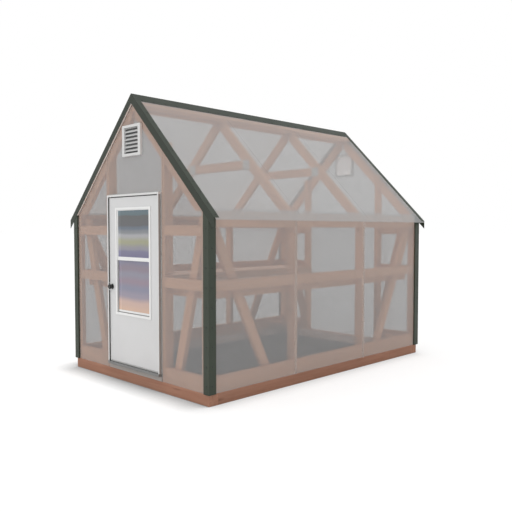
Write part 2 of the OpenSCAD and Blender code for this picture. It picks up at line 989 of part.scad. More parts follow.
module sash_catches() {
    color(dark)
        both_sides()
            block([sash_x - catch_in - catch_l, sash_y + catch_set, sash_top],
                [sash_x - catch_in, sash_y + sash_t - catch_set, sash_top + catch_h]);
}

module knob_roses() {
    color(dark)
        for (y = [leaf_front, leaf_back + rose_t])
            translate([knob_x, y, knob_z])
                rotate([90, 0, 0])
                    difference() {
                        cylinder(r = rose_r, h = rose_t);
                        translate([0, 0, -eps])
                            cylinder(r = spindle_r + pin_play, h = rose_t + 2 * eps);
                    }
}

// A flattened ball on a neck, standing out along Z
module knob() {
    cylinder(r = neck_r, h = neck_l + knob_t / 4);
    intersection() {
        translate([0, 0, neck_l + knob_t / 2])
            sphere(r = knob_r);
        translate([-knob_r, -knob_r, neck_l])
            cube([2 * knob_r, 2 * knob_r, knob_t]);
    }
}

module outer_knob() {
    color(dark)
        translate([knob_x, leaf_front - rose_t - knob_gap, knob_z])
            rotate([90, 0, 0])
                knob();
}

module inner_knob() {
    color(dark)
        translate([knob_x, leaf_back + rose_t + knob_gap, knob_z])
            rotate([-90, 0, 0])
                knob();
}

module spindle() {
    reach = rose_t + knob_gap;
    color(steel)
        translate([knob_x, leaf_back + reach, knob_z])
            rotate([90, 0, 0])
                cylinder(r = spindle_r, h = leaf_t + 2 * reach);
}

module latch_case() {
    half_w = bolt_w / 2 + bolt_play;
    half_h = bolt_h / 2 + bolt_play;
    edge = -leaf_w / 2;
    color(steel)
        difference() {
            union() {
                block([edge, leaf_mid - face_w / 2, knob_z - face_h / 2],
                    [edge + plate_t, leaf_mid + face_w / 2, knob_z + face_h / 2]);
                translate([edge + plate_t, leaf_mid, knob_z])
                    rotate([0, 90, 0])
                        cylinder(r = case_r, h = case_end - edge - plate_t);
            }
            block([edge - eps, leaf_mid - half_w, knob_z - half_h],
                [case_end + eps, leaf_mid + half_w, knob_z + half_h]);
        }
}

module latch_bolt() {
    color(steel)
        translate([0, leaf_mid, knob_z - bolt_h / 2])
            linear_extrude(bolt_h)
                polygon([
                    [bolt_tail, -bolt_w / 2], [bolt_tail, bolt_w / 2], [bolt_tip + bevel, bolt_w / 2],
                    [bolt_tip, bolt_w / 2 - bevel], [bolt_tip, -bolt_w / 2]
                ]);
}

base_end_timbers();
base_side_timbers();
ground_mat();
side_bottom_plates();
end_bottom_plates();
corner_studs();
wall_studs();
top_plates();
side_girts();
gable_girts();
wall_braces();
gable_braces();
corner_braces();
front_gable_studs();
back_gable_studs();
gable_rafters();
truss_rafters();
collar_ties();
gusset_plates();
ridge_board();
ridge_purlins();
bench_ledgers();
bench_front_rails();
bench_end_rails();
bench_joists();
bench_slats();
side_panels();
front_gable_panels();
back_gable_panels();
roof_panels();
ridge_cap();
rake_trims();
corner_trims();
vent_frames();
vent_louvres();
door_jambs();
door_head();
door_stops();
threshold();
strike_plate();
frame_hinge_leaves();
hinge_pins();
door_leaf();
door_sweep();
door_hinge_leaves();
outer_window_frame();
inner_window_frame();
upper_glass();
upper_sash_frame();
knob_roses();
latch_case();
sash_frame();
sash_glass();
sash_catches();
outer_knob();
inner_knob();
spindle();
latch_bolt();
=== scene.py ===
"""A timber greenhouse with clear sheets, dark metal trims, gable vents, benches and a half-glazed door."""

import logging
import math
from dataclasses import dataclass, field, replace
from enum import Enum
from typing import Iterable, Optional, Sequence, Union

import bmesh
import bpy
from mathutils import Matrix, Vector


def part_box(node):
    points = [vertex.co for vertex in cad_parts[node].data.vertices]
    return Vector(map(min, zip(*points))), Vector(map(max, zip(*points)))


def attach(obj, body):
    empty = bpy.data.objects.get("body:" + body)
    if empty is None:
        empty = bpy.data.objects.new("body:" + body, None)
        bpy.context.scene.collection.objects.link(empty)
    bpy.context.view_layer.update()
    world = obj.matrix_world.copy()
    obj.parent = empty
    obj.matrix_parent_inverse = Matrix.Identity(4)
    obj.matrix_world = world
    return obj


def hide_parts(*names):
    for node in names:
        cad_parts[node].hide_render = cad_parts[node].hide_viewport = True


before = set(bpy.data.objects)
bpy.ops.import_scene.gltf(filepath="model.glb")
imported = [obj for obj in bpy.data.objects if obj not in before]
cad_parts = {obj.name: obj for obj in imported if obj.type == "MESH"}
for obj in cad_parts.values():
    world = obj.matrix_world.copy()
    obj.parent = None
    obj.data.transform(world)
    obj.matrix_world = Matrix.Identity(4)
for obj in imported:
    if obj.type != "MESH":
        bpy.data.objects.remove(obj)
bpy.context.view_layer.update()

Colour = tuple[float, float, float]
Point = tuple[float, float, float]
Bands = tuple[tuple[float, Colour], ...]
Profile = list[tuple[float, float]]
Term = Union["Wire", float]

log = logging.getLogger("greenhouse")

ROOF_PITCH = math.radians(45)
WALL_BRACE_LEAN = math.radians(26.3)
GABLE_BRACE_LEAN = math.radians(14.6)
SIDES = (-1, 1)
WHITE = (1.0, 1.0, 1.0, 1.0)


class Body(Enum):
    """The bodies that new pieces ride on."""

    BUILDING = "building"
    DOOR = "door"
    KNOBS = "knobs"


class Grain(Enum):
    """The way that the grain runs in a set of timbers, with X and Y folded to their positive sides."""

    ALONG_X = (1.0, 0.0, 0.0)
    ALONG_Y = (0.0, 1.0, 0.0)
    UPRIGHT = (0.0, 0.0, 1.0)
    RAFTER = (math.cos(ROOF_PITCH), 0.0, -math.sin(ROOF_PITCH))
    WALL_BRACE = (0.0, math.sin(WALL_BRACE_LEAN), math.cos(WALL_BRACE_LEAN))
    GABLE_BRACE = (math.sin(GABLE_BRACE_LEAN), 0.0, math.cos(GABLE_BRACE_LEAN))
    CORNER_BRACE = (math.sqrt(0.5), -math.sqrt(0.5), 0.0)

    def axes(self) -> tuple[Vector, Vector, Vector]:
        """The unit vectors along the grain and square to it."""
        along = Vector(self.value)
        helper = Vector((0.0, 0.0, 1.0)) if abs(along.z) < 0.5 else Vector((1.0, 0.0, 0.0))
        if self is Grain.WALL_BRACE:
            helper = Vector((1.0, 0.0, 0.0))
        across = along.cross(helper).normalized()
        return along, across, along.cross(across)


class Ease(Enum):
    """How wide the eased edges of a piece are, in metres, and how many facets cross them."""

    NONE = (0.0, 1)
    STAMPED = (0.0003, 1)
    SHEARED = (0.0004, 1)
    GROUND = (0.0005, 2)
    TRIMMED = (0.0010, 2)
    PLANED = (0.0012, 2)
    DRAWN = (0.0015, 2)
    PRESSED = (0.0015, 3)
    SAWN = (0.0022, 2)
    SOFT = (0.0025, 3)
    MOULDED = (0.0030, 3)


class Wire:
    """A number in a shader, either fixed or from a socket, on which Python's operators add Math nodes."""

    def __init__(self, graph: "Graph", value: Union[float, bpy.types.NodeSocket]) -> None:
        """Keeps the graph that new nodes go into, and the number or socket."""
        self.graph = graph
        self.value = value

    def math(self, operation: str, *others: Term) -> "Wire":
        """Adds one Math node.

        Args:
            operation: The node's operation.
            others: Its other inputs.

        Returns:
            The node's result.
        """
        inputs = dict(enumerate((self, *others)))
        return self.graph.add("ShaderNodeMath", {"operation": operation}, inputs)

    def __add__(self, other: Term) -> "Wire":
        """The sum."""
        return self.math("ADD", other)

    __radd__ = __add__

    def __mul__(self, other: Term) -> "Wire":
        """The product."""
        return self.math("MULTIPLY", other)

    __rmul__ = __mul__

    def __sub__(self, other: Term) -> "Wire":
        """The difference."""
        return self.math("SUBTRACT", other)

    def __rsub__(self, other: float) -> "Wire":
        """The difference the other way round."""
        return Wire(self.graph, other).math("SUBTRACT", self)

    def __truediv__(self, other: Term) -> "Wire":
        """The quotient."""
        return self.math("DIVIDE", other)

    def __pow__(self, other: Term) -> "Wire":
        """The power."""
        return self.math("POWER", other)

    def __abs__(self) -> "Wire":
        """The size without the sign."""
        return self.math("ABSOLUTE")

    def above(self, level: float) -> "Wire":
        """One where the number is over the level, and nought elsewhere."""
        return self.math("GREATER_THAN", level)

    def between(self, low: float, high: float) -> "Wire":
        """How far the number is from low to high, kept from 0 to 1."""
        inputs = {"Value": self, "From Min": low, "From Max": high}
        return self.graph.add("ShaderNodeMapRange", {"clamp": True}, inputs)


Input = Union[Wire, float, Sequence[float]]
Inputs = dict[Union[str, int], Input]
Settings = dict[str, object]


class Graph:
    """The node tree of one material or of the world, with short ways to add what the finishes need."""

    def __init__(self, tree: bpy.types.NodeTree) -> None:
        """Empties the tree."""
        self.tree = tree
        tree.nodes.clear()

    def raw(self, kind: str, settings: Settings, inputs: Inputs) -> bpy.types.Node:
        """Adds one node.

        Args:
            kind: The node's type.
            settings: Its settings, which are set first.
            inputs: Values or links for its sockets, by name or number.

        Returns:
            The node.
        """
        node = self.tree.nodes.new(kind)
        for name, value in settings.items():
            setattr(node, name, value)
        for key, value in inputs.items():
            if isinstance(value, Wire):
                value = value.value
            if isinstance(value, bpy.types.NodeSocket):
                self.tree.links.new(value, node.inputs[key])
            else:
                node.inputs[key].default_value = value
        return node

    def add(self, kind: str, settings: Settings, inputs: Inputs, output: Union[str, int] = 0) -> Wire:
        """Adds one node, as raw does, and gives one of its outputs.

        Args:
            kind: The node's type.
            settings: Its settings.
            inputs: Values or links for its sockets.
            output: The output to give, by name or number.

        Returns:
            That output.
        """
        return Wire(self, self.raw(kind, settings, inputs).outputs[output])

    def vector(self, x: Input, y: Input, z: Input) -> Wire:
        """A vector from three numbers."""
        return self.add("ShaderNodeCombineXYZ", {}, {0: x, 1: y, 2: z})

    def parts(self, kind: str, output: str) -> tuple[Wire, Wire, Wire]:
        """The three numbers of the vector that a node of this type gives."""
        node = self.raw("ShaderNodeSeparateXYZ", {}, {0: self.add(kind, {}, {}, output)})
        return tuple(Wire(self, socket) for socket in node.outputs)

    def place(self) -> tuple[Wire, Wire, Wire]:
        """The three Object coordinates."""
        return self.parts("ShaderNodeTexCoord", "Object")

    def normal(self) -> tuple[Wire, Wire, Wire]:
        """The three parts of the surface's normal."""
        return self.parts("ShaderNodeNewGeometry", "Normal")

    def luck(self) -> Wire:
        """A random number from 0 to 1 for each separate solid."""
        return self.add("ShaderNodeNewGeometry", {}, {}, "Random Per Island")

    def noise(self, spot: Wire, scale: float = 1.0, detail: float = 4.0, rough: float = 0.55) -> Wire:
        """Soft noise from 0 to 1."""
        inputs = {"Vector": spot, "Scale": scale, "Detail": detail, "Roughness": rough}
        return self.add("ShaderNodeTexNoise", {}, inputs)

    def blend(self, factor: Input, low: Input, high: Input) -> Wire:
        """A colour between two colours.

        Args:
            factor: 0 for the first colour and 1 for the second.
            low: The first colour.
            high: The second colour.

        Returns:
            The mixed colour.
        """
        low, high = (self.opaque(tone) for tone in (low, high))
        return self.add("ShaderNodeMix", {"data_type": "RGBA"}, {0: factor, 6: low, 7: high}, 2)

    @staticmethod
    def opaque(tone: Input) -> Input:
        """A colour with its fourth number, if it is a fixed one."""
        return (*tone, 1.0) if isinstance(tone, tuple) else tone

    def ramp(self, factor: Wire, stops: Bands) -> Wire:
        """A colour that changes smoothly through its stops.

        Args:
            factor: The place along the ramp.
            stops: Places and colours, in order.

        Returns:
            The colour.
        """
        node = self.raw("ShaderNodeValToRGB", {}, {0: factor})
        elements = node.color_ramp.elements
        while len(elements) < len(stops):
            elements.new(0.5)
        for element, (spot, tone) in zip(elements, stops):
            element.position = spot
            element.color = (*tone, 1.0)
        node.color_ramp.interpolation = "EASE"
        return Wire(self, node.outputs[0])

    def scale(self, tone: Wire, factor: Input) -> Wire:
        """A colour made lighter or darker by a number."""
        return self.add("ShaderNodeVectorMath", {"operation": "SCALE"}, {0: tone, "Scale": factor})

    def bump(self, height: Wire, distance: float) -> Wire:
        """A surface normal from a height, whose full range is the distance in metres."""
        return self.add("ShaderNodeBump", {}, {"Height": height, "Distance": distance, "Strength": 1.0})

    def surface(self, **sockets: Input) -> Wire:
        """The Principled shader of a finish, with sockets named as Base_Color for Base Color."""
        named = {key.replace("_", " "): self.opaque(value) for key, value in sockets.items()}
        return self.add("ShaderNodeBsdfPrincipled", {}, named)

    def output(self, shader: Wire, kind: str = "ShaderNodeOutputMaterial") -> None:
        """Joins the finished shader to the tree's output."""
        self.raw(kind, {}, {0: shader})


@dataclass(frozen=True)
class Finish:
    """What a surface looks like. Each kind of finish paints its own material."""

    name: str

    def paint(self, graph: Graph) -> Wire:
        """Makes the shader. Each kind of finish has its own."""
        raise NotImplementedError

    def material(self) -> bpy.types.Material:
        """The finish's material, made on its first use."""
        known = bpy.data.materials.get(self.name)
        if known:
            return known
        fresh = bpy.data.materials.new(self.name)
        fresh.use_nodes = True
        graph = Graph(fresh.node_tree)
        graph.output(self.paint(graph))
        return fresh


def shaded(tone: Colour, factor: float) -> Colour:
    """A colour made lighter or darker."""
    return tuple(part * factor for part in tone)


@dataclass(frozen=True)
class Figure:
    """One layer of a timber's figure: how close it lies along and across the grain, and how it is moved."""

    along: float
    across: float
    moved: tuple[bool, bool, bool]
    detail: float = 2.0
    rough: float = 0.55

    def spot(self, graph: Graph, ways: Sequence[Wire], shift: Wire) -> Wire:
        """Where the layer is read.

        Args:
            graph: The material's graph.
            ways: The places along the grain, across it and square to both.
            shift: How far luck moves the layer in this timber, in the ways that it moves.

        Returns:
            The place in the layer.
        """
        scales = (self.along, self.across, self.across)
        scaled = [way * scale for way, scale in zip(ways, scales)]
        return graph.vector(*(part + shift if moved else part for part, moved in zip(scaled, self.moved)))

    def noise(self, graph: Graph, ways: Sequence[Wire], shift: Wire) -> Wire:
        """The layer's noise, from 0 to 1."""
        return graph.noise(self.spot(graph, ways, shift), detail=self.detail, rough=self.rough)


STREAKS = Figure(1.3, 34.0, (True, False, True), detail=5.0, rough=0.6)
FIBRES = Figure(9.0, 260.0, (False, True, False))
STAINS = Figure(2.5, 5.0, (True, False, True))
KNOTS = Figure(1.7, 7.0, (True, True, False))
SAW_MARKS = Figure(330.0, 14.0, (False, False, False))


@dataclass(frozen=True)
class SawnTimber(Finish):
    """Rough-sawn softwood: long streaks, a few knots, saw marks across the grain and slightly paler ends."""

    grain: Grain
    light: Colour
    dark: Colour
    saw_depth: float = 0.0005
    raw_and_lit_inside: bool = False
    luck_reach: float = 37.0
    fibre_share: float = 0.3
    knot_cover: float = 0.55
    knot_tone: float = 0.45
    own_tone: float = 0.16
    stain_tone: float = 0.25
    end_tone: float = 0.06

    def paint(self, graph: Graph) -> Wire:
        """Streaks follow the grain, and each timber has its own tone."""
        x, y, z = graph.place()
        x, y = abs(x), abs(y)
        ways = [x * axis.x + y * axis.y + z * axis.z for axis in self.grain.axes()]
        luck = graph.luck()
        shift = luck * self.luck_reach
        layers = (STREAKS, FIBRES, STAINS, SAW_MARKS)
        streak, fibre, stain, saw = (layer.noise(graph, ways, shift) for layer in layers)
        cells = {"Vector": KNOTS.spot(graph, ways, shift), "Scale": 1.0}
        knot = 1 - graph.add("ShaderNodeTexVoronoi", {}, cells).between(0.05, 0.16)
        tone = streak.between(0.30, 0.70) * (1 - self.fibre_share) + fibre * self.fibre_share
        wood = graph.blend(tone, self.dark, self.light)
        # Faces towards the middle are paler: bare wood, and painted light for the inside of the house.
        if self.raw_and_lit_inside:
            wood = graph.blend(self.faces_in(graph), wood, graph.blend(tone, RAW_LIT_DARK, RAW_LIT_LIGHT))
        wood = graph.blend(knot * self.knot_cover, wood, shaded(self.dark, self.knot_tone))
        end = sum(abs(part) * share for part, share in zip(graph.normal(), self.grain.value))
        shade = (luck - 0.5) * self.own_tone + (stain - 0.5) * self.stain_tone + 1.0
        shade += end.between(0.93, 0.99) * self.end_tone
        rise = saw * 0.6 + streak * 0.4 + fibre * 0.3
        return graph.surface(Base_Color=graph.scale(wood, shade), Roughness=0.86 - fibre * 0.1,
                             Normal=graph.bump(rise, self.saw_depth), Specular_IOR_Level=0.25)

    @staticmethod
    def faces_in(graph: Graph) -> Wire:
        """One on faces that look towards the middle of the house, and nought elsewhere."""
        x, y, _ = graph.place()
        across, back, _ = graph.normal()
        return 1 - (across * x + back * y).above(-0.3)


@dataclass(frozen=True)
class ClearSheet(Finish):
    """Milky twin-wall sheet: mostly see-through, with faint flutes that run down the slope or wall."""

    tone: Colour
    cover: float = 0.40
    flutes_on_y: bool = True
    flute: float = 0.006
    flute_mark: float = 0.004
    haze_mark: float = 0.012

    def paint(self, graph: Graph) -> Wire:
        """The milk of both faces lies in the one towards the viewer, and the flutes change it slightly."""
        x, y, z = graph.place()
        flute = ((y if self.flutes_on_y else x) * (2 * math.pi / self.flute)).math("SINE")
        haze = graph.noise(graph.vector(x, y, z), 1.4, 3.0)
        clear = (0.5 - haze) * self.haze_mark - flute * self.flute_mark + (1 - self.cover)
        near = 1 - graph.add("ShaderNodeNewGeometry", {}, {}, "Backfacing")
        return graph.surface(Base_Color=self.tone, Alpha=(1 - clear * clear) * near, Roughness=0.32,
                             Specular_IOR_Level=0.3)


@dataclass(frozen=True)
class Paint(Finish):
    """Satin paint on metal, wood or plastic, with a fine texture and slight unevenness."""

    tone: Colour
    rough: float = 0.45
    texture: float = 0.00006
    dust: float = 0.06
    speck: float = 420.0
    gloss: float = 0.5
    # A grey painted onto faces that look outwards along X: painted shade.
    edge: Optional[Colour] = None

    def paint(self, graph: Graph) -> Wire:
        """A faint film of dust varies the tone and the gloss, and faces that look outwards along X can take a
        grey edge tone that paints their shade.
        """
        x, y, z = graph.place()
        spot = graph.vector(x, y, z)
        film = graph.noise(spot, 3.0, 5.0)
        peel = graph.noise(spot, self.speck, 2.0)
        tone = graph.blend(film.between(0.35, 0.75), self.tone, shaded(self.tone, 1 - self.dust))
        if self.edge:
            tone = graph.blend((graph.normal()[0] * x).above(0.35), tone, self.edge)
        return graph.surface(Base_Color=tone, Roughness=film * 0.15 + (self.rough - 0.07),
                             Normal=graph.bump(peel, self.texture), Specular_IOR_Level=self.gloss)


@dataclass(frozen=True)
class Metal(Finish):
    """Bare metal: mill aluminium, galvanised steel or a polished pin, with its drawn lines or spangle."""

    tone: Colour
    rough: float = 0.4
    metallic: float = 1.0
    stretch: Point = (1.0, 40.0, 40.0)
    line_tone: float = 0.82
    line_depth: float = 0.00005

    def paint(self, graph: Graph) -> Wire:
        """Fine lines run the way that the piece was drawn."""
        spot = graph.vector(*(part * scale for part, scale in zip(graph.place(), self.stretch)))
        line = graph.noise(spot, 12.0)
        tone = graph.blend(line, shaded(self.tone, self.line_tone), self.tone)
        return graph.surface(Base_Color=tone, Roughness=line * 0.2 + (self.rough - 0.1),
                             Metallic=self.metallic, Normal=graph.bump(line, self.line_depth))


@dataclass(frozen=True)
class Glazing(Finish):
    """Window glass with a soft reflection of sky, trees and ground, laid on as bands of colour."""

    low: float
    high: float
    left: float
    bands: Bands
    cover: float = 0.94
    waver: float = 0.10
    glow: float = 0.22
    glow_edge: tuple[float, float] = (0.040, 0.052)

    def paint(self, graph: Graph) -> Wire:
        """The painted reflection's bands run level up the pane, waver a little, and are paler by the lock
        side.
        """
        x, y, z = graph.place()
        sway = graph.noise(graph.vector(x * 3.0, y, z * 2.0), detail=2.0)
        height = (z - self.low) / (self.high - self.low) + (sway - 0.5) * self.waver
        # A painted highlight makes the reflection paler near the lock side.
        glow = (1 + self.glow) - (x - self.left).between(*self.glow_edge) * self.glow
        sky = graph.scale(graph.ramp(height, self.bands), glow)
        return graph.surface(Base_Color=sky, Alpha=self.cover, Roughness=0.06)


@dataclass(frozen=True)
class GroundCloth(Finish):
    """Woven ground cover: flat black tapes, over and under. Its near-black also paints the deep shade on the
    ground inside the house.
    """

    tape: float = 0.0025
    # A near-black cloth tone that also paints the shade inside the house.
    tone: Colour = (0.016, 0.016, 0.017)
    dust_tone: float = 2.2
    dust_share: float = 0.35
    weave_depth: float = 0.0002

    def paint(self, graph: Graph) -> Wire:
        """The weave is two crossing sets of ridges."""
        x, y, z = graph.place()
        warp, weft = ((way * (math.pi / self.tape)).math("SINE") for way in (x, y))
        weave = warp * weft * 0.5 + 0.5
        dust = graph.noise(graph.vector(x, y, z), 2.2, 5.0).between(0.4, 0.8) * self.dust_share
        tone = graph.blend(dust, self.tone, shaded(self.tone, self.dust_tone))
        return graph.surface(Base_Color=tone, Roughness=0.85, Normal=graph.bump(weave, self.weave_depth))


def srgb(red: int, green: int, blue: int) -> Colour:
    """A colour as shaders take it, from the usual 0 to 255 values."""
    return tuple(part / 12.92 if part <= 0.04045 else ((part + 0.055) / 1.055) ** 2.4
                 for part in (red / 255, green / 255, blue / 255))


# The frame timbers are paler than the stained base, partly as fresher wood and partly as painted light for
# the inside of the house.
FRAME_LIT_LIGHT = (0.64, 0.335, 0.185)
FRAME_LIT_DARK = (0.48, 0.225, 0.118)
BASE_LIGHT = (0.40, 0.218, 0.150)
BASE_DARK = (0.300, 0.142, 0.092)
# Paler tones for the base's inner faces: bare wood, and painted light for the inside of the house.
RAW_LIT_LIGHT = srgb(222, 202, 192)
RAW_LIT_DARK = srgb(196, 170, 158)
BENCH_LIGHT = srgb(226, 188, 164)
BENCH_DARK = srgb(200, 156, 130)
GREEN = Paint("green_enamel", tone=srgb(52, 60, 49), rough=0.5, dust=0.10, gloss=0.35)
# The cap and the rake faces take darker copies of the same green enamel, as painted shade.
SHADED_CAP_GREEN = replace(GREEN, name="cap_green_painted_shade", tone=srgb(47, 55, 45))
SHADED_RAKE_GREEN = replace(GREEN, name="rake_green_painted_shade", tone=srgb(43, 50, 40))
DARK_SCREW = Paint("dark_screw_heads", tone=srgb(30, 34, 30), rough=0.4)
WHITE_STEEL = Paint("white_enamel", tone=srgb(206, 206, 206), rough=0.38, dust=0.03)
WHITE_WOOD = Paint("white_painted_wood", tone=srgb(212, 212, 211), rough=0.5, dust=0.05, speck=160.0)
# The jambs' outer sides take a grey that paints their shade.
JAMB_WOOD = replace(WHITE_WOOD, name="white_wood_with_painted_shade_edges", edge=srgb(146, 144, 142))
WHITE_PLASTIC = Paint("white_moulding", tone=srgb(228, 228, 227), rough=0.34, dust=0.03)
VENT_PLASTIC = Paint("white_vent_plastic", tone=srgb(207, 207, 206), rough=0.4, dust=0.05)
# A paler copy of the vent plastic: painted light on the vents' backs, seen from inside.
LIT_VENT_BACK = replace(VENT_PLASTIC, name="white_vent_back_painted_light", tone=srgb(252, 252, 252))
# The screen's grey paints the shade in the gaps between the louvre blades.
SHADE_SCREEN = Paint("vent_shade_screen", tone=srgb(92, 92, 92), rough=0.7)
BLACK_METAL = Paint("black_enamel", tone=srgb(14, 14, 14), rough=0.26)
BLACK_PLASTIC = Paint("black_moulding", tone=srgb(34, 34, 34), rough=0.5)
# The seals' dark tone paints the shade in the gaps round the door leaf.
GAP_SHADE_SEAL = Paint("seal_painted_gap_shade", tone=srgb(52, 52, 52), rough=0.75)
SILL_METAL = Metal("mill_aluminium", tone=srgb(133, 133, 132), rough=0.5, metallic=0.35)
SWEEP_METAL = Metal("sweep_aluminium", tone=srgb(182, 182, 181), rough=0.5, metallic=0.25)
# The brush's grey paints the shadow gap round the lower sash.
SHADE_BRUSH = Paint("window_brush_painted_shade", tone=srgb(96, 96, 96), rough=0.8)
FOAM = Paint("pale_closure_foam", tone=srgb(226, 226, 225), rough=0.8)
# A real apron whose pale tone also paints light over the threshold's shadow.
APRON = Metal("sill_apron_painted_light", tone=srgb(170, 163, 158), rough=0.6, metallic=0.1)
GALVANISED = Metal("galvanised_steel", tone=srgb(198, 198, 194), rough=0.55, metallic=0.35,
                   stretch=(9.0, 9.0, 9.0))
BRIGHT_STEEL = Metal("bright_steel", tone=srgb(150, 150, 150), rough=0.3, stretch=(40.0, 40.0, 1.0))
CLOTH = GroundCloth("ground_cloth_painted_shade")


@dataclass
class Dresser:
    """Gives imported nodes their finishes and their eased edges."""

    weld: float = 0.00002
    sharp: float = math.radians(30)

    def dress(self, node: str, finish: Finish, ease: Ease = Ease.NONE) -> bpy.types.Object:
        """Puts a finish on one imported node.

        Args:
            node: The node's name.
            finish: What its surface looks like.
            ease: How its edges are eased.

        Returns:
            The node's object.
        """
        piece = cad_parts[node]
        piece.data.materials.clear()
        piece.data.materials.append(finish.material())
        join = piece.modifiers.new("weld", "WELD")
        join.merge_threshold = self.weld
        width, facets = ease.value
        if width:
            bevel = piece.modifiers.new("ease", "BEVEL")
            bevel.width = width
            bevel.segments = facets
            bevel.limit_method = "ANGLE"
            bevel.angle_limit = self.sharp
        log.info("dressed %s with %s", node, finish.name)
        return piece


DRESSER = Dresser()


class Shape:
    """A mesh in the making, on bmesh operators, in the house's own frame."""

    CREASE = math.radians(38)

    def __init__(self) -> None:
        """Starts with nothing."""
        self.mesh = bmesh.new()

    def box(self, low: Point, high: Point, ease: float = 0.0) -> None:
        """Adds a block between two corners, with eased edges if asked.

        Args:
            low: Its lowest corner.
            high: Its highest corner.
            ease: The width of the eased edges.
        """
        size = [b - a for a, b in zip(low, high)]
        middle = [(a + b) / 2 for a, b in zip(low, high)]
        place = Matrix.Translation(middle) @ Matrix.Diagonal((*size, 1.0))
        made = bmesh.ops.create_cube(self.mesh, size=1.0, matrix=place)["verts"]
        if ease:
            edges = list({edge for vert in made for edge in vert.link_edges})
            bmesh.ops.bevel(self.mesh, geom=edges, offset=ease, segments=2, profile=0.5,
                            affect="EDGES", material=-1)

    def strip(self, points: Iterable[Point], reach: Point) -> None:
        """Adds a folded strip: a chain of points, drawn out one way.

        Args:
            points: The fold line's points.
            reach: How far and which way the chain is drawn out.
        """
        verts = [self.mesh.verts.new(point) for point in points]
        edges = [self.mesh.edges.new(pair) for pair in zip(verts, verts[1:])]
        drawn = bmesh.ops.extrude_edge_only(self.mesh, edges=edges)["geom"]
        moved = [item for item in drawn if isinstance(item, bmesh.types.BMVert)]
        bmesh.ops.translate(self.mesh, verts=moved, vec=reach)

    def cut(self, point: Point, normal: Point) -> None:
        """Cuts away all that lies beyond a plane.

        Args:
            point: A point of the plane.
            normal: The way that it faces, towards what goes.
        """
        everything = self.mesh.verts[:] + self.mesh.edges[:] + self.mesh.faces[:]
        bmesh.ops.bisect_plane(self.mesh, geom=everything, plane_co=point, plane_no=normal, clear_outer=True)

    def turned(self, profile: Profile, place: Matrix, steps: int = 40) -> None:
        """Adds a turned form.

        Args:
            profile: Radii and heights, from one end of the axis to the other.
            place: Where the form's foot stands, with its axis along Z.
            steps: The number of faces round it.
        """
        before = set(self.mesh.verts)
        verts = [self.mesh.verts.new((radius, 0.0, height)) for radius, height in profile]
        edges = [self.mesh.edges.new(pair) for pair in zip(verts, verts[1:])]
        bmesh.ops.spin(self.mesh, geom=verts + edges, cent=(0, 0, 0), axis=(0, 0, 1), angle=2 * math.pi,
                       steps=steps, use_merge=True)
        fresh = [vert for vert in self.mesh.verts if vert not in before]
        bmesh.ops.remove_doubles(self.mesh, verts=fresh, dist=1e-6)
        fresh = [vert for vert in self.mesh.verts if vert not in before]
        bmesh.ops.transform(self.mesh, matrix=place, verts=fresh)

    def piece(self, name: str, body: Body, slot: str, finish: Finish, smooth: bool = False,
              replaced: Sequence[str] = (), wall: float = 0.0) -> bpy.types.Object:
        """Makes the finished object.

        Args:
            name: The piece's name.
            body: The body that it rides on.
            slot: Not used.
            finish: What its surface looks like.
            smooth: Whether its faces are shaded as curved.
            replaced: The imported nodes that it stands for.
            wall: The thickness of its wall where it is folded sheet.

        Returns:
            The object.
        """
        bmesh.ops.recalc_face_normals(self.mesh, faces=self.mesh.faces[:])
        data = bpy.data.meshes.new(name)
        self.mesh.to_mesh(data)
        self.mesh.free()
        data.materials.append(finish.material())
        piece = bpy.data.objects.new(name, data)
        bpy.context.scene.collection.objects.link(piece)
        if smooth:
            data.shade_smooth()
            data.set_sharp_from_angle(angle=self.CREASE)
        if wall:
            solid = piece.modifiers.new("wall", "SOLIDIFY")
            solid.thickness = wall
            solid.offset = 0.0
        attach(piece, body.value)
        if replaced:
            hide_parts(*replaced)
        log.info("made %s on %s", name, body.value)
        return piece


@dataclass
class TimberFrame:
    """The sawn timbers of the base, walls, roof and benches."""

    grains: dict[Grain, tuple[str, ...]] = field(default_factory=lambda: {
        Grain.ALONG_X: ("end_bottom_plates", "gable_girts", "collar_ties", "bench_end_rails", "bench_joists"),
        Grain.ALONG_Y: ("side_bottom_plates", "top_plates", "side_girts", "ridge_board", "ridge_purlins",
                        "bench_ledgers", "bench_front_rails"),
        Grain.UPRIGHT: ("corner_studs", "wall_studs", "front_gable_studs", "back_gable_studs"),
        Grain.RAFTER: ("gable_rafters", "truss_rafters"),
        Grain.WALL_BRACE: ("wall_braces",),
        Grain.GABLE_BRACE: ("gable_braces",),
        Grain.CORNER_BRACE: ("corner_braces",),
    })

    def build(self) -> None:
        """Dresses every timber with grain that runs its own way."""
        for grain, nodes in self.grains.items():
            name = "lit_sawn_timber_" + grain.name.lower()
            # These tones carry painted light for the timbers inside the house.
            finish = SawnTimber(name, grain=grain, light=FRAME_LIT_LIGHT, dark=FRAME_LIT_DARK)
            for node in nodes:
                DRESSER.dress(node, finish, Ease.SAWN)
        for grain, node in ((Grain.ALONG_X, "base_end_timbers"), (Grain.ALONG_Y, "base_side_timbers")):
            stained = SawnTimber("stained_" + node, grain=grain, light=BASE_LIGHT, dark=BASE_DARK,
                                 raw_and_lit_inside=True)
            DRESSER.dress(node, stained, Ease.SAWN)
        boards = SawnTimber("bench_boards", grain=Grain.ALONG_Y, light=BENCH_LIGHT, dark=BENCH_DARK,
                            saw_depth=0.0002)
        DRESSER.dress("bench_slats", boards, Ease.SAWN)
        DRESSER.dress("gusset_plates", GALVANISED, Ease.SHEARED)
        DRESSER.dress("ground_mat", CLOTH)


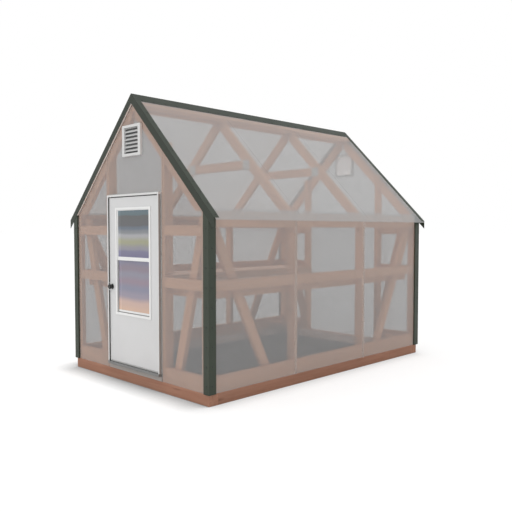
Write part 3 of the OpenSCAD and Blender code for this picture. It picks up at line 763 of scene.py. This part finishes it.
@dataclass
class Skin:
    """The clear sheets of the walls and the roof. They are one sheet, but their tones paint light and shade:
    the roof lighter, the gables darker.
    """

    # Painted light and shade: the gable tone is darker and the roof tone lighter than the side sheet's.
    wall: ClearSheet = ClearSheet("clear_side_sheet", tone=(0.345, 0.347, 0.348))
    gable: ClearSheet = ClearSheet("clear_gable_sheet_painted_shade", tone=(0.275, 0.277, 0.278), flutes_on_y=False)
    roof: ClearSheet = ClearSheet("clear_roof_sheet_painted_light", tone=(0.395, 0.397, 0.397))
    strip: ClearSheet = ClearSheet("clear_joint_strip", tone=(0.42, 0.40, 0.39), cover=0.12)
    shrink: float = 0.0005
    stud: float = 0.038
    strip_w: float = 0.040
    strip_t: float = 0.0012
    strip_gap: float = 0.002

    def build(self) -> None:
        """Dresses the sheets, which let all light through so that the timbers inside are lit.

        Each sheet is drawn a hair thinner than it is, so that no face of it lies in the face of a timber.
        """
        for node, finish in (("side_panels", self.wall), ("front_gable_panels", self.gable),
                             ("back_gable_panels", self.gable), ("roof_panels", self.roof)):
            sheet = DRESSER.dress(node, finish)
            thinner = sheet.modifiers.new("thinner", "DISPLACE")
            thinner.strength = -self.shrink
            thinner.mid_level = 0.0
            self.let_light_in(sheet)
        self.joints()

    @staticmethod
    def let_light_in(sheet: bpy.types.Object) -> None:
        """Keeps a clear piece from shading what stands behind it."""
        sheet.visible_shadow = False
        sheet.visible_diffuse = False

    def joints(self) -> None:
        """A clear strip covers each joint between two side sheets."""
        low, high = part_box("side_panels")
        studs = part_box("wall_studs")
        strips = Shape()
        for side in SIDES:
            inner, outer = sorted((side * high.x, side * (high.x + self.strip_t)))
            for edge, way in ((studs[0].y, 1), (studs[1].y, -1)):
                middle = edge + way * self.stud / 2
                strips.box((inner, middle - self.strip_w / 2, low.z),
                           (outer, middle + self.strip_w / 2, high.z - self.strip_gap))
        self.let_light_in(strips.piece("joint_strips", Body.BUILDING, "clear_sheet", self.strip))


@dataclass
class Trim:
    """What the kinds of folded metal trim share."""

    metal: float = 0.0019
    sheet_top: float = 0.057
    stand: float = 0.015
    lap: float = 0.0022
    cap_back: float = 0.004
    flange: float = 0.050

    def slope(self, x: float, depth: float) -> float:
        """The height of a plane of the roof, depth above the rafters, at a distance from the middle."""
        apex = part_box("ridge_board")[1].z
        return apex + depth / math.cos(ROOF_PITCH) - abs(x) * math.tan(ROOF_PITCH)


@dataclass
class RidgeCap(Trim):
    """The folded cap along the ridge."""

    fold: float = 0.056
    fold_run: float = 0.002
    fold_drop: float = 0.0004

    def build(self) -> None:
        """The cap is one strip with a bend at the ridge and a fold down each side. It covers the rakes."""
        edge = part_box("ridge_cap")[1].x - self.cap_back
        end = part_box("rake_trims")[1].y + self.stand + self.lap
        middle = self.sheet_top + self.metal / 2
        lower = middle - self.fold_drop
        half = ((0.0, middle), (self.fold, middle), (self.fold + self.fold_run, lower), (edge, lower))
        right = [(x, -end, self.slope(x, depth)) for x, depth in half]
        left = [(-x, y, z) for x, y, z in reversed(right[1:])]
        cap = Shape()
        cap.strip(left + right, (0.0, 2 * end, 0.0))
        cap.piece("folded_ridge_cap", Body.BUILDING, "green_metal", SHADED_CAP_GREEN, replaced=["ridge_cap"],
                  wall=self.metal)


@dataclass
class RakeTrims(Trim):
    """The angles along the rakes, with pale foam behind their faces and pale tape under their flanges."""

    face: float = 0.071
    mitre: float = 0.0005
    foam_start: float = 0.004
    foam_stop: float = 0.12
    foam_inset: float = 0.0024
    foam_hem: float = 0.004
    tape_wall: float = 0.0002
    tape_drop: float = 0.0003
    tape_back: float = 0.001
    tape_inset: float = 0.005

    def build(self) -> None:
        """Each rake gets the same strips, which run down the slope from near the ridge."""
        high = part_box("rake_trims")[1]
        front, back = high.y + self.stand + self.lap, high.y - self.flange
        flange_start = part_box("ridge_cap")[1].x - self.cap_back
        foam_end = high.x - self.foam_stop
        top = self.sheet_top + self.metal / 2
        foot = top - self.face
        foam_foot, foam_front = foot + self.foam_hem / 2, front - self.foam_inset
        tape_depth = self.sheet_top - self.tape_drop
        faces, flanges, foam, tape = Shape(), Shape(), Shape(), Shape()
        strips = (
            (faces, self.mitre, high.x, (front, foot), (front, top)),
            (foam, self.foam_start, foam_end, (high.y, foam_foot), (front - self.metal * 0.6, foam_foot)),
            (foam, self.foam_start, foam_end, (foam_front, foot + self.foam_hem),
             (foam_front, top - self.foam_hem)),
            (tape, flange_start, foam_end, (back + self.tape_back, tape_depth),
             (front - self.tape_inset, tape_depth)),
            (flanges, flange_start, high.x, (back, top), (front, top)),
        )
        for end in SIDES:
            for side in SIDES:
                for shape, inner, outer, *edge in strips:
                    points = [(side * inner, end * y, self.slope(inner, depth)) for y, depth in edge]
                    fall = self.slope(outer, 0.0) - self.slope(inner, 0.0)
                    shape.strip(points, (side * (outer - inner), 0.0, fall))
        faces.piece("rake_faces", Body.BUILDING, "green_metal", SHADED_RAKE_GREEN, replaced=["rake_trims"],
                    wall=self.metal)
        flanges.piece("rake_flanges", Body.BUILDING, "green_metal", GREEN, wall=self.metal)
        foam.piece("rake_foam", Body.BUILDING, "white_plastic", FOAM, wall=self.metal)
        tape.piece("rake_tape", Body.BUILDING, "white_plastic", FOAM, wall=self.tape_wall)


@dataclass
class CornerTrims(Trim):
    """The angles up the corners, which stand off the sheets."""

    end_leg: float = 0.078
    side_leg: float = 0.089
    under_roof: float = 0.0495
    overshoot: float = 0.2

    def build(self) -> None:
        """Each has a hem back to the sheets at both edges, and is cut along the roof's slope."""
        low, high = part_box("corner_trims")
        x, y = high.x + self.stand, high.y + self.stand
        chain = ((high.x, y - self.side_leg), (x, y - self.side_leg), (x, y), (x - self.end_leg, y),
                 (x - self.end_leg, high.y))
        rise = (0.0, 0.0, high.z - low.z + self.overshoot)
        trims = Shape()
        for side in SIDES:
            for end in SIDES:
                trims.strip([(side * across, end * along, low.z) for across, along in chain], rise)
        apex = (0.0, 0.0, self.slope(0.0, self.under_roof))
        for side in SIDES:
            trims.cut(apex, (side * math.sin(ROOF_PITCH), 0.0, math.cos(ROOF_PITCH)))
        trims.piece("folded_corner_trims", Body.BUILDING, "green_metal", GREEN, replaced=["corner_trims"],
                    wall=self.metal)


@dataclass
class TrimScrews(Trim):
    """The screws that hold the trims."""

    radius: float = 0.0075
    height: float = 0.004
    pitch: float = 0.152
    sink: float = 0.0002
    facets: int = 10
    cap_row: float = 0.76
    flange_row: float = 0.6
    rake_margin: float = 0.03
    corner_rows: int = 9
    corner_foot: float = 0.08
    corner_head: float = 0.18
    side_row: float = 0.030
    end_row: float = 0.024

    def build(self) -> None:
        """Screw heads run along the ridge cap, down the rake trims' flanges and up the corner trims."""
        heads = Shape()
        for place in self.roof_places() + self.corner_places():
            heads.turned(self.head(), place, self.facets)
        heads.piece("trim_screws", Body.BUILDING, "green_metal", DARK_SCREW, smooth=True)

    def roof_places(self) -> list[Matrix]:
        """Where the screws in the ridge cap and in the rake trims' flanges stand."""
        low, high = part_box("ridge_cap")
        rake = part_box("rake_trims")[1]
        length = high.y - low.y
        count = round(length / self.pitch)
        spots = [(high.x * self.cap_row, low.y + (i + 0.5) * length / count) for i in range(count)]
        run = rake.x - high.x - 2 * self.rake_margin
        gaps = round(run / (self.pitch * math.cos(ROOF_PITCH)))
        for i in range(gaps + 1):
            x = high.x + self.rake_margin + run * i / gaps
            spots += [(x, end * (rake.y - self.flange * self.flange_row)) for end in SIDES]
        depth = self.sheet_top + self.metal - self.sink
        tilt = {side: Matrix.Rotation(side * ROOF_PITCH, 4, "Y") for side in SIDES}
        return [Matrix.Translation((side * x, y, self.slope(x, depth))) @ tilt[side]
                for x, y in spots for side in SIDES]

    def corner_places(self) -> list[Matrix]:
        """Where the screws in both legs of the corner trims stand."""
        low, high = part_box("corner_trims")
        out = self.stand + self.metal / 2 - self.sink
        step = (high.z - low.z - self.corner_foot - self.corner_head) / (self.corner_rows - 1)
        places = []
        for i in range(self.corner_rows):
            z = low.z + self.corner_foot + i * step
            for side in SIDES:
                for end in SIDES:
                    on_side = Matrix.Translation((side * (high.x + out), end * (high.y - self.side_row), z))
                    on_end = Matrix.Translation((side * (high.x - self.end_row), end * (high.y + out), z))
                    places.append(on_side @ Matrix.Rotation(side * math.pi / 2, 4, "Y"))
                    places.append(on_end @ Matrix.Rotation(-end * math.pi / 2, 4, "X"))
        return places

    def head(self) -> Profile:
        """A low domed head on a washer."""
        r, h = self.radius, self.height
        return [(0.0, 0.0), (r, 0.0), (r, h * 0.25), (r * 0.62, h * 0.4), (r * 0.55, h * 0.85), (0.0, h)]


@dataclass
class GableVent:
    """The louvred vents, one in each gable."""

    blades: int = 7
    blade_metal: float = 0.0018
    blade_steps: int = 5
    curve: float = 1.35
    lip: float = 0.001
    lip_drop: float = 0.0005
    throat: float = 0.020
    spare: float = 0.35
    first: float = 0.45
    rise: float = 0.58
    top_gap: float = 0.67
    screen_depth: float = 0.0225
    back_gap: float = 0.002
    sheet: float = 0.0008
    sheet_rise: float = 0.18

    def build(self) -> None:
        """Dresses the frames, and makes curved louvre blades in them before a screen and a pale back. The
        screen's grey paints the shade between the blades.

        The blades' places and rises are shares of their pitch.
        """
        DRESSER.dress("vent_frames", VENT_PLASTIC, Ease.SOFT)
        low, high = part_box("vent_louvres")
        pitch = (high.z - low.z) / (self.blades - self.spare)
        blades = Shape()
        for end in SIDES:
            for i in range(self.blades):
                foot = (low.x, end * (high.y - self.lip), low.z + self.lip + (i + self.first) * pitch)
                rise = min(self.rise, self.blades - self.top_gap - i) * pitch
                line = self.blade(foot, end * (self.lip - self.throat), rise)
                blades.strip(line, (high.x - low.x, 0.0, 0.0))
        blades.piece("curved_louvres", Body.BUILDING, "white_plastic", VENT_PLASTIC,
                     replaced=["vent_louvres"], wall=self.blade_metal)
        for name, depth, finish in (("vent_shade_screens", self.screen_depth, SHADE_SCREEN),
                                    ("vent_backs", self.screen_depth + self.back_gap, LIT_VENT_BACK)):
            sheet = Shape()
            for end in SIDES:
                outer, inner = sorted((end * (high.y - depth), end * (high.y - depth - self.sheet)))
                sheet.box((low.x, outer, low.z), (high.x, inner, high.z + pitch * self.sheet_rise))
            sheet.piece(name, Body.BUILDING, "white_plastic", finish)

    def blade(self, foot: Point, run: float, rise: float) -> list[Point]:
        """The line of one blade at its end, from a small lip inwards and up in a curve.

        Args:
            foot: Its lower outer edge.
            run: How far it runs inwards.
            rise: How far it climbs.

        Returns:
            The line's points.
        """
        x, y, z = foot
        shares = [step / self.blade_steps for step in range(self.blade_steps + 1)]
        curve = [(x, y + run * share, z + rise * share ** self.curve) for share in shares]
        return [(x, y, z - self.lip_drop)] + curve


@dataclass
class Doorway:
    """The fixed parts of the door: jambs, head, stops, threshold, strike, hinges, seals and apron."""

    leaf_gap: float = 0.005
    seal: float = 0.0025
    seal_ease: float = 0.0004
    seal_front: float = 0.003
    seal_back: float = 0.001
    strike_gap: float = 0.01
    head_gap: float = 0.003
    head_depth: float = 0.009
    apron_inset: float = 0.004
    apron_front: float = 0.0026
    apron_back: float = 0.0008
    apron_foot: float = 0.001
    apron_head: float = 0.0005

    def build(self) -> None:
        """Dresses the fixed parts, and makes the seals and the apron."""
        DRESSER.dress("door_jambs", JAMB_WOOD, Ease.PLANED)
        for node in ("door_head", "door_stops"):
            DRESSER.dress(node, WHITE_WOOD, Ease.PLANED)
        DRESSER.dress("threshold", SILL_METAL, Ease.DRAWN)
        DRESSER.dress("strike_plate", BRIGHT_STEEL, Ease.STAMPED)
        for node in ("frame_hinge_leaves", "hinge_pins"):
            DRESSER.dress(node, WHITE_STEEL, Ease.STAMPED)
        self.seals()
        self.apron()

    def apron(self) -> None:
        """A pale metal apron covers the sheet between the threshold and the base. Its pale tone paints light
        over the threshold's shadow.
        """
        low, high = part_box("threshold")
        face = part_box("front_gable_panels")[0].y
        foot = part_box("base_end_timbers")[1].z
        plate = Shape()
        plate.box((low.x + self.apron_inset, face - self.apron_front, foot + self.apron_foot),
                  (high.x - self.apron_inset, face - self.apron_back, low.z - self.apron_head))
        plate.piece("sill_apron", Body.BUILDING, "aluminium", APRON)

    def seals(self) -> None:
        """Dark seals line the jamb on the lock side, clear of the strike, and the head behind the leaf. Their
        dark tone paints the shade in the gaps round the leaf.
        """
        jamb_low, jamb_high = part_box("door_jambs")
        leaf_low, leaf_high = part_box("door_leaf")
        strike_low, strike_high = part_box("strike_plate")
        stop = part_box("door_stops")[0].y
        inner = leaf_low.x - self.leaf_gap
        front, back = jamb_low.y + self.seal_front, leaf_low.y - self.seal_back
        seals = Shape()
        for low_z, high_z in ((leaf_low.z, strike_low.z - self.strike_gap),
                              (strike_high.z + self.strike_gap, leaf_high.z)):
            seals.box((inner, front, low_z), (inner + self.seal, back, high_z), self.seal_ease)
        seals.box((leaf_low.x, stop - self.head_depth, leaf_high.z + self.head_gap),
                  (leaf_high.x, stop, jamb_high.z), self.seal_ease)
        seals.piece("gap_shade_seals", Body.BUILDING, "white_wood", GAP_SHADE_SEAL)


@dataclass
class Door:
    """The leaf with its window, sash, knobs and latch. Its panes carry a painted reflection in soft bands,
    from their feet up.
    """

    mould: float = 0.025
    brush: float = 0.006
    brush_front: float = 0.0016
    brush_back: float = 0.0004
    knob_swell: float = 1.12
    rose_swell: float = 1.20
    spindle: float = 0.0052
    sky: Bands = (
        (0.00, srgb(112, 110, 138)), (0.10, srgb(118, 116, 142)), (0.18, srgb(140, 138, 146)),
        (0.32, srgb(154, 154, 128)), (0.46, srgb(162, 162, 165)), (0.53, srgb(128, 131, 136)),
        (0.62, srgb(100, 110, 122)), (0.68, srgb(94, 95, 98)), (0.87, srgb(94, 95, 96)),
        (0.90, srgb(94, 110, 116)), (1.00, srgb(96, 114, 122)),
    )
    dusk: Bands = (
        (0.00, srgb(208, 176, 156)), (0.16, srgb(198, 170, 158)), (0.30, srgb(148, 142, 156)),
        (0.44, srgb(134, 134, 152)), (0.58, srgb(144, 130, 144)), (0.72, srgb(138, 137, 150)),
        (0.84, srgb(136, 125, 138)), (1.00, srgb(126, 126, 146)),
    )

    def build(self) -> None:
        """Dresses the leaf's parts, and makes the brush seal and the knobs."""
        for node, finish, ease in (
                ("door_leaf", WHITE_STEEL, Ease.PRESSED), ("door_sweep", SWEEP_METAL, Ease.TRIMMED),
                ("door_hinge_leaves", WHITE_STEEL, Ease.STAMPED),
                ("outer_window_frame", WHITE_PLASTIC, Ease.MOULDED),
                ("inner_window_frame", WHITE_PLASTIC, Ease.MOULDED),
                ("upper_sash_frame", WHITE_PLASTIC, Ease.DRAWN), ("sash_frame", WHITE_PLASTIC, Ease.DRAWN),
                ("sash_catches", BLACK_PLASTIC, Ease.TRIMMED), ("latch_case", BRIGHT_STEEL, Ease.STAMPED),
                ("latch_bolt", BRIGHT_STEEL, Ease.GROUND), ("spindle", BRIGHT_STEEL, Ease.NONE)):
            DRESSER.dress(node, finish, ease)
        for node, bands in (("upper_glass", self.sky), ("sash_glass", self.dusk)):
            low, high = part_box(node)
            DRESSER.dress(node, Glazing(node + "_pane", low=low.z, high=high.z, left=low.x, bands=bands))
        self.brush_seal()
        self.knobs()

    def brush_seal(self) -> None:
        """A grey brush seal runs up both sides of the lower light and along its foot, before the sash. Its
        grey paints the shadow gap between the moulding and the sash.
        """
        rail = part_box("upper_sash_frame")[0]
        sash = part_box("sash_frame")[0]
        trim_low, trim_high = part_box("outer_window_frame")
        inner = trim_high.x - self.mould
        foot = trim_low.z + self.mould
        front, back = sash.y - self.brush_front, sash.y - self.brush_back
        brush = Shape()
        for side in SIDES:
            left, right = sorted((side * inner, side * (inner - self.brush)))
            brush.box((left, front, foot), (right, back, rail.z))
        brush.box((self.brush - inner, front, foot), (inner - self.brush, back, foot + self.brush))
        brush.piece("brush_seal", Body.DOOR, "white_plastic", SHADE_BRUSH)

    def knobs(self) -> None:
        """Both knobs and their roses are turned forms, which stand on the leaf's two faces."""
        leaf_low, leaf_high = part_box("door_leaf")
        for node, way in (("outer_knob", -1), ("inner_knob", 1)):
            low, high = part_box(node)
            foot = high.y if way < 0 else low.y
            profile = self.knob_profile((high.x - low.x) / 2 * self.knob_swell, high.y - low.y)
            knob = Shape()
            knob.turned(profile, self.standing(node, foot, way))
            knob.piece("turned_" + node, Body.KNOBS, "black_metal", BLACK_METAL, smooth=True, replaced=[node])
        low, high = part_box("knob_roses")
        profile = self.rose_profile((high.x - low.x) / 2 * self.rose_swell, high.y - leaf_high.y)
        roses = Shape()
        for way, foot in ((-1, leaf_low.y), (1, leaf_high.y)):
            roses.turned(profile, self.standing("knob_roses", foot, way))
        roses.piece("turned_roses", Body.DOOR, "black_metal", BLACK_METAL, smooth=True,
                    replaced=["knob_roses"])

    @staticmethod
    def standing(node: str, foot: float, way: int) -> Matrix:
        """Where a turned form stands on the door.

        Args:
            node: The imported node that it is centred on.
            foot: The place of its foot along Y.
            way: The way that it points along Y.

        Returns:
            The place, with the form's axis turned from Z to that way.
        """
        low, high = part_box(node)
        middle = (low + high) / 2
        return Matrix.Translation((middle.x, foot, middle.z)) @ Matrix.Rotation(-way * math.pi / 2, 4, "X")

    @staticmethod
    def knob_profile(radius: float, length: float) -> Profile:
        """A neck that swells into a flattened ball with a slightly hollow face."""
        neck = radius * 0.37
        ball = length * 0.66
        middle = length - ball / 2
        profile = [(0.0, 0.0), (neck * 1.25, 0.0), (neck * 1.2, 0.002), (neck, 0.005)]
        profile.append((neck, length - ball * 0.98))
        for step in range(1, 12):
            turn = math.pi * (step / 12)
            swell = (radius - neck) * math.sin(turn) ** 0.6
            profile.append((neck + swell, middle - ball / 2 * math.cos(turn)))
        return profile + [(neck * 0.9, length), (0.0, length - 0.0012)]

    def rose_profile(self, radius: float, height: float) -> Profile:
        """A domed plate with a small collar round the spindle."""
        dome = [(1.0, 0.0), (1.0, 0.3), (0.97, 0.48), (0.8, 0.66), (0.5, 0.78), (0.46, 1.0)]
        bore = (self.spindle, 0.0)
        return [bore] + [(radius * r, height * h) for r, h in dome] + [(self.spindle, height), bore]


@dataclass
class Studio:
    """The floor, the light and the camera."""

    camera_place: Point = (5.5595, -5.5403, 1.6571)
    camera_turn: Point = (87.5305, 0.0, 45.0906)
    lens: float = 43.457
    sensor: float = 36.0
    sight: float = 1000.0
    floor_size: float = 400.0
    floor_drop: float = 0.001
    floor_lift: float = 1.08
    floor_share: float = 0.65
    contact_reach: float = 0.30
    contact_rays: int = 8
    contact_lean: Point = (0.5, 0.32, 1.0)
    fill: float = 0.42
    key: float = 1.35
    key_way: Point = (-0.05, -0.42, 0.9)

    def build(self) -> None:
        """Sets up all three."""
        scene = bpy.context.scene
        scene.view_settings.view_transform = "Standard"
        self.camera(scene)
        self.floor(scene)
        self.world(scene)

    def camera(self, scene: bpy.types.Scene) -> None:
        """The camera stands and looks as the photograph's did."""
        data = bpy.data.cameras.new("camera")
        data.lens = self.lens
        data.sensor_width = self.sensor
        data.clip_end = self.sight
        camera = bpy.data.objects.new("camera", data)
        camera.location = self.camera_place
        camera.rotation_euler = [math.radians(turn) for turn in self.camera_turn]
        scene.collection.objects.link(camera)
        scene.camera = camera

    def floor(self, scene: bpy.types.Scene) -> None:
        """A wide pale floor, which keeps the house's soft shadow. A contact shadow from ambient occlusion,
        leaned to one side, is painted into its colour, and the camera also sees it in a glow.
        """
        plane = bmesh.new()
        bmesh.ops.create_grid(plane, x_segments=1, y_segments=1, size=self.floor_size / 2)
        bmesh.ops.translate(plane, verts=plane.verts[:], vec=(0.0, 0.0, -self.floor_drop))
        data = bpy.data.meshes.new("floor")
        plane.to_mesh(data)
        plane.free()
        material = bpy.data.materials.new("floor_paint")
        material.use_nodes = True
        graph = Graph(material.node_tree)
        lean = graph.add("ShaderNodeVectorMath", {"operation": "NORMALIZE"}, {0: self.contact_lean})
        # Painted shadow: ambient occlusion, read along a leaned normal, darkens the floor's colour near the
        # house.
        painted_contact_shadow = graph.add("ShaderNodeAmbientOcclusion", {"samples": self.contact_rays},
                         {"Color": WHITE, "Distance": self.contact_reach, "Normal": lean})
        seen = graph.add("ShaderNodeLightPath", {}, {}, "Is Camera Ray")
        lift = graph.add("ShaderNodeEmission", {}, {"Color": painted_contact_shadow, "Strength": self.floor_lift})
        matt = graph.add("ShaderNodeBsdfDiffuse", {}, {"Color": painted_contact_shadow})
        graph.output(graph.add("ShaderNodeMixShader", {}, {0: seen * self.floor_share, 1: matt, 2: lift}))
        data.materials.append(material)
        floor = bpy.data.objects.new("floor", data)
        scene.collection.objects.link(floor)

    def world(self, scene: bpy.types.Scene) -> None:
        """A soft dome, brighter towards the key side, that the camera and mirrors see as plain white."""
        world = bpy.data.worlds.new("studio")
        scene.world = world
        world.use_nodes = True
        graph = Graph(world.node_tree)
        way = graph.add("ShaderNodeTexCoord", {}, {}, "Generated")
        key = tuple(Vector(self.key_way).normalized())
        facing = graph.add("ShaderNodeVectorMath", {"operation": "DOT_PRODUCT"}, {0: way, 1: key}, "Value")
        strength = facing.math("MAXIMUM", 0.0) ** 2.0 * self.key + self.fill
        light = graph.add("ShaderNodeBackground", {}, {"Color": WHITE, "Strength": strength})
        plain = graph.add("ShaderNodeBackground", {}, {"Color": WHITE, "Strength": 1.0})
        path = graph.raw("ShaderNodeLightPath", {}, {}).outputs
        rays = ("Is Camera Ray", "Is Glossy Ray", "Is Transmission Ray")
        seen = sum(Wire(graph, path[name]) for name in rays)
        both = graph.add("ShaderNodeMixShader", {}, {0: seen.math("MINIMUM", 1.0), 1: light, 2: plain})
        graph.output(both, "ShaderNodeOutputWorld")


def main() -> None:
    """Builds the house piece by piece."""
    logging.basicConfig(level=logging.INFO, format="%(message)s")
    for part in (Studio(), TimberFrame(), Skin(), RidgeCap(), RakeTrims(), CornerTrims(), TrimScrews(),
                 GableVent(), Doorway(), Door()):
        log.info("building %s", type(part).__name__)
        part.build()


if __name__ == "__main__":
    main()
